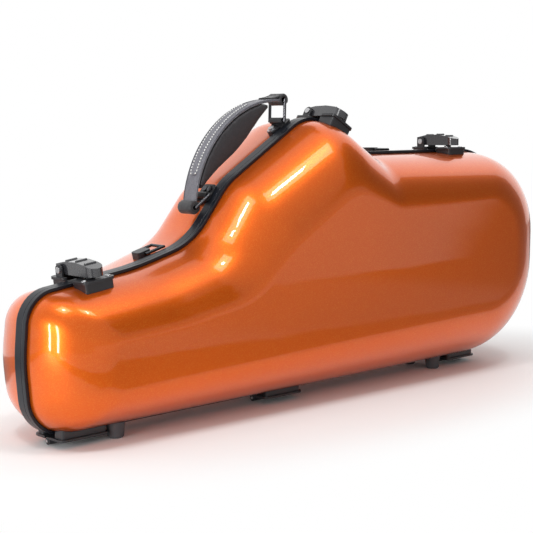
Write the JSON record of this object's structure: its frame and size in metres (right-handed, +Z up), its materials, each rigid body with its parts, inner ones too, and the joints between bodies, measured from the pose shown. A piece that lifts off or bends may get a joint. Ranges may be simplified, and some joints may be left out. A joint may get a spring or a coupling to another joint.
{
  "type": "alto saxophone case",
  "caption": "Moulded two-part instrument case shaped to an alto saxophone: hinged lid, draw latches, padded carrying handle, strap rings, rubber feet and a foam cradle inside.",
  "frame": {"origin": "middle of the footprint at the height of the feet's undersides", "axes": "+X along the case towards its wide end, +Y from the lid half towards the base half, +Z up as it stands on its feet"},
  "size_m": [0.6529, 0.1698, 0.292],
  "materials": {
    "shell_finish": "metallic copper orange gelcoat, high gloss",
    "rim_trim": "satin bluish black extrusion",
    "seal_rubber": "soft black cord",
    "foot_rubber": "dull dark grey",
    "steel": "plain",
    "bright_wire": "bright nickel",
    "black_metal": "black powder coat",
    "lever_plastic": "semi-gloss black",
    "leather": "dark grey with white stitching",
    "plush": "short black plush over foam",
    "webbing": "woven black strap"
  },
  "bodies": {
    "base": {"base_rim": "rim_trim", "rim_seal": "seal_rubber", "base_feet": "foot_rubber", "hinge_base_leaves": "black_metal", "hinge_pins": "steel", "latch_bases": "black_metal", "latch_pivots": "steel", "handle_bracket_lower": "black_metal", "handle_bracket_upper": "black_metal", "bracket_rivets": "steel", "bracket_washer": "bright_wire", "bracket_screw": "steel", "strap_ring_blocks": "black_metal", "base_shell": "shell_finish", "cradle": "plush", "hold_strap": "webbing"},
    "lid": {"lid_rim": "rim_trim", "lid_feet": "foot_rubber", "hinge_lid_leaves": "black_metal", "latch_catches": "black_metal", "lid_shell": "shell_finish", "lid_padding": "plush"},
    "lever_left": {"latch_lever_left": "lever_plastic"},
    "bail_left": {"latch_bail_left": "bright_wire"},
    "lever_peak": {"latch_lever_peak": "lever_plastic"},
    "bail_peak": {"latch_bail_peak": "bright_wire"},
    "lever_right": {"latch_lever_right": "lever_plastic"},
    "bail_right": {"latch_bail_right": "bright_wire"},
    "loop_lower": {"handle_loop_lower": "bright_wire"},
    "loop_upper": {"handle_loop_upper": "bright_wire"},
    "handle": {"handle_strap": "leather", "handle_roll": "leather", "handle_flap": "leather", "handle_grip": "leather", "handle_panel": "leather"},
    "strap_ring_left": {"strap_ring_left": "bright_wire"},
    "strap_ring_right": {"strap_ring_right": "bright_wire"}
  },
  "joints": [
    {"name": "lid_hinge", "type": "hinge", "parent": "base", "child": "lid", "pos_m": [-0.00003, -0.00668, 0.0044], "axis": [1, 0, 0], "range_deg": [0, 105]},
    {"name": "lever_left", "type": "hinge", "parent": "base", "child": "lever_left", "pos_m": [-0.26739, 0.01052, 0.1424], "axis": [-0.9908, 0, -0.1352], "range_deg": [0, 80]},
    {"name": "bail_left", "type": "hinge", "parent": "lever_left", "child": "bail_left", "pos_m": [-0.26753, 0.01472, 0.14339], "axis": [-0.9908, 0, -0.1352], "range_deg": [-56, 0]},
    {"name": "lever_peak", "type": "hinge", "parent": "base", "child": "lever_peak", "pos_m": [0.02721, 0.01052, 0.27125], "axis": [-0.8745, 0, 0.485], "range_deg": [0, 80]},
    {"name": "bail_peak", "type": "hinge", "parent": "lever_peak", "child": "bail_peak", "pos_m": [0.0277, 0.01472, 0.27213], "axis": [-0.8745, 0, 0.485], "range_deg": [-56, 0]},
    {"name": "lever_right", "type": "hinge", "parent": "base", "child": "lever_right", "pos_m": [0.20787, 0.01052, 0.24613], "axis": [-0.9999, 0, -0.0115], "range_deg": [0, 80]},
    {"name": "bail_right", "type": "hinge", "parent": "lever_right", "child": "bail_right", "pos_m": [0.20786, 0.01472, 0.24713], "axis": [-0.9999, 0, -0.0115], "range_deg": [-56, 0]},
    {"name": "loop_lower", "type": "hinge", "parent": "base", "child": "loop_lower", "pos_m": [-0.12403, 0.00752, 0.19798], "axis": [0, 1, 0], "range_deg": [0, 30]},
    {"name": "handle", "type": "hinge", "parent": "loop_lower", "child": "handle", "pos_m": [-0.13902, 0.00752, 0.18748], "axis": [0, 1, 0], "range_deg": [-25.5, 0]},
    {"name": "loop_upper", "type": "hinge", "parent": "base", "child": "loop_upper", "pos_m": [-0.02749, 0.00752, 0.26601], "axis": [0, 1, 0], "range_deg": [0, 11.1]},
    {"name": "ring_left", "type": "hinge", "parent": "base", "child": "strap_ring_left", "pos_m": [-0.18853, 0.01402, 0.14904], "axis": [0, -1, 0], "range_deg": [0, 110]},
    {"name": "ring_right", "type": "hinge", "parent": "base", "child": "strap_ring_right", "pos_m": [0.11679, 0.01402, 0.23749], "axis": [0, -1, 0], "range_deg": [0, 110]}
  ],
  "couplings": [
    {"joint": "bail_left", "follows": "lever_left", "ratio": -0.7},
    {"joint": "bail_peak", "follows": "lever_peak", "ratio": -0.7},
    {"joint": "bail_right", "follows": "lever_right", "ratio": -0.7},
    {"joint": "handle", "follows": "loop_lower", "ratio": -0.85},
    {"joint": "loop_upper", "follows": "loop_lower", "ratio": 0.37}
  ]
}
